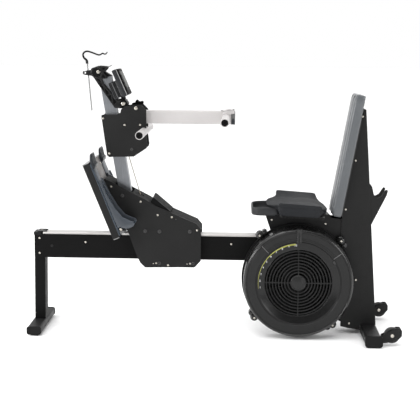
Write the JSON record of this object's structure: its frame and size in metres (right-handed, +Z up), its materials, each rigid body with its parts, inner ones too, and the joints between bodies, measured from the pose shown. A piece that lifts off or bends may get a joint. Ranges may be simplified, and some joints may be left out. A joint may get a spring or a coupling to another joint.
{
  "type": "seated air resistance strength machine",
  "caption": "Seated air-resistance strength machine: beam frame with caged flywheel, seat and backrest, and a sliding carriage with footplates, leaning mast and adjustable arm.",
  "frame": {"origin": "on the floor under the middle of the machine's box", "axes": "+X along the beam towards the seat, +Y to the user's right, +Z up"},
  "size_m": [1.75, 0.67, 1.3432],
  "materials": {
    "frame_paint": "satin powder coat",
    "black_plastic": "moulded",
    "dark_knob": "moulded",
    "seat_skin": "fine grain",
    "tray_plastic": "fine grain",
    "back_vinyl": "embossed vinyl",
    "board": "painted plywood",
    "mast_metal": "anodised",
    "rail_metal": "brushed",
    "arm_paint": "satin",
    "fastener": "zinc plated",
    "dark_bolt": "black oxide",
    "fan_metal": "cast",
    "belt": "ribbed",
    "pad_rubber": "matt",
    "wheel_tread": "matt",
    "foot_plastic": "moulded",
    "roller_plastic": "turned",
    "wire": "drawn wire",
    "cord": "braided",
    "button": "matt"
  },
  "bodies": {
    "frame": {"front_foot": "frame_paint", "rear_foot": "frame_paint", "foot_caps": "black_plastic", "foot_pads": "pad_rubber", "front_post": "frame_paint", "main_beam": "frame_paint", "beam_rail": "rail_metal", "beam_end_cap": "black_plastic", "rear_side_plates": "frame_paint", "rear_web": "frame_paint", "storage_hooks": "frame_paint", "backrest_pad": "back_vinyl", "backrest_board": "board", "seat_shell": "seat_skin", "seat_bracket": "frame_paint", "front_tray": "tray_plastic", "cage_bezel": "black_plastic", "cage_grille": "black_plastic", "cage_rear": "black_plastic", "axle_hanger": "frame_paint", "flywheel_bearings": "fastener", "drive_belts": "belt", "fixed_axles": "fastener", "caster_brackets": "frame_paint", "frame_screws": "fastener"},
    "flywheel": {"flywheel_fan": "fan_metal", "flywheel_axle": "fastener", "drive_drum": "roller_plastic"},
    "damper": {"damper_slider": "black_plastic"},
    "caster_left": {"caster_wheel_left": "wheel_tread"},
    "caster_right": {"caster_wheel_right": "wheel_tread"},
    "pulley_front": {"belt_pulley_front": "roller_plastic"},
    "pulley_rear": {"belt_pulley_rear": "roller_plastic"},
    "carriage": {"carriage_plates": "frame_paint", "carriage_covers": "black_plastic", "carriage_bolts": "dark_bolt", "belt_clamp": "frame_paint", "carriage_glides": "roller_plastic", "mast": "mast_metal", "mast_cap": "black_plastic", "footplate_pan": "frame_paint", "foot_beds": "foot_plastic", "monitor_fork": "black_plastic", "lift_cord": "cord"},
    "roller_front": {"rail_roller_front": "roller_plastic"},
    "roller_rear": {"rail_roller_rear": "roller_plastic"},
    "heel_left": {"heel_cup_left": "foot_plastic"},
    "heel_right": {"heel_cup_right": "foot_plastic"},
    "arm": {"arm_box_plates": "frame_paint", "arm_box_guides": "roller_plastic", "arm_bar": "arm_paint", "arm_plugs": "dark_knob", "grip_tubes": "arm_paint", "arm_box_screws": "fastener"},
    "knob": {"clamp_knob": "dark_knob"},
    "monitor": {"monitor_housing": "black_plastic"},
    "button_1": {"monitor_button_1": "button"},
    "button_2": {"monitor_button_2": "button"},
    "button_3": {"monitor_button_3": "button"},
    "rod": {"device_rod": "wire"}
  },
  "joints": [
    {"name": "carriage_slide", "type": "slide", "parent": "frame", "child": "carriage", "axis": [1, 0, 0], "range_m": [-0.42, 0.17]},
    {"name": "roller_front_spin", "type": "hinge", "parent": "carriage", "child": "roller_front", "pos_m": [-0.325, 0, 0.4905], "axis": [0, 1, 0], "continuous": true},
    {"name": "roller_rear_spin", "type": "hinge", "parent": "carriage", "child": "roller_rear", "pos_m": [-0.113, 0, 0.4905], "axis": [0, 1, 0], "continuous": true},
    {"name": "pulley_front_spin", "type": "hinge", "parent": "frame", "child": "pulley_front", "pos_m": [-0.78, 0, 0.404], "axis": [0, 1, 0], "continuous": true},
    {"name": "pulley_rear_spin", "type": "hinge", "parent": "frame", "child": "pulley_rear", "pos_m": [0.4, 0, 0.404], "axis": [0, 1, 0], "continuous": true},
    {"name": "flywheel_spin", "type": "hinge", "parent": "frame", "child": "flywheel", "pos_m": [0.4, 0, 0.271], "axis": [0, 1, 0], "continuous": true},
    {"name": "damper_turn", "type": "hinge", "parent": "frame", "child": "damper", "pos_m": [0.4, 0, 0.271], "axis": [0, -1, 0], "range_deg": [0, 95]},
    {"name": "caster_left_spin", "type": "hinge", "parent": "frame", "child": "caster_left", "pos_m": [0.83, -0.22, 0.05], "axis": [0, 1, 0], "continuous": true},
    {"name": "caster_right_spin", "type": "hinge", "parent": "frame", "child": "caster_right", "pos_m": [0.83, 0.22, 0.05], "axis": [0, 1, 0], "continuous": true},
    {"name": "arm_height", "type": "slide", "parent": "carriage", "child": "arm", "axis": [-0.1711, 0, 0.9853], "range_m": [-0.09, 0], "deforming": ["lift_cord"]},
    {"name": "clamp_turn", "type": "hinge", "parent": "arm", "child": "knob", "pos_m": [-0.373, 0, 1.073], "axis": [0, 1, 0], "range_deg": [0, 360]},
    {"name": "monitor_tilt", "type": "hinge", "parent": "carriage", "child": "monitor", "pos_m": [-0.435, 0, 1.093], "axis": [0, 1, 0], "range_deg": [0, 35]},
    {"name": "device_rod_slide", "type": "slide", "parent": "carriage", "child": "rod", "axis": [-0.0955, 0, 0.9954], "range_m": [-0.03, 0.15]},
    {"name": "heel_left_slide", "type": "slide", "parent": "carriage", "child": "heel_left", "axis": [-0.3811, 0, 0.9245], "range_m": [0, 0.05]},
    {"name": "heel_right_slide", "type": "slide", "parent": "carriage", "child": "heel_right", "axis": [-0.3811, 0, 0.9245], "range_m": [0, 0.05]},
    {"name": "button_1_press", "type": "slide", "parent": "monitor", "child": "button_1", "axis": [-0.9135, 0, -0.4067], "range_m": [0, 0.0012], "stiffness_N_per_m": 500},
    {"name": "button_2_press", "type": "slide", "parent": "monitor", "child": "button_2", "axis": [-0.9135, 0, -0.4067], "range_m": [0, 0.0012], "stiffness_N_per_m": 500},
    {"name": "button_3_press", "type": "slide", "parent": "monitor", "child": "button_3", "axis": [-0.9135, 0, -0.4067], "range_m": [0, 0.0012], "stiffness_N_per_m": 500}
  ],
  "couplings": [
    {"joint": "roller_front_spin", "follows": "carriage_slide", "rad_per_m": 48.781},
    {"joint": "roller_rear_spin", "follows": "carriage_slide", "rad_per_m": 48.781},
    {"joint": "pulley_front_spin", "follows": "carriage_slide", "rad_per_m": -47.281},
    {"joint": "pulley_rear_spin", "follows": "carriage_slide", "rad_per_m": -47.281}
  ]
}
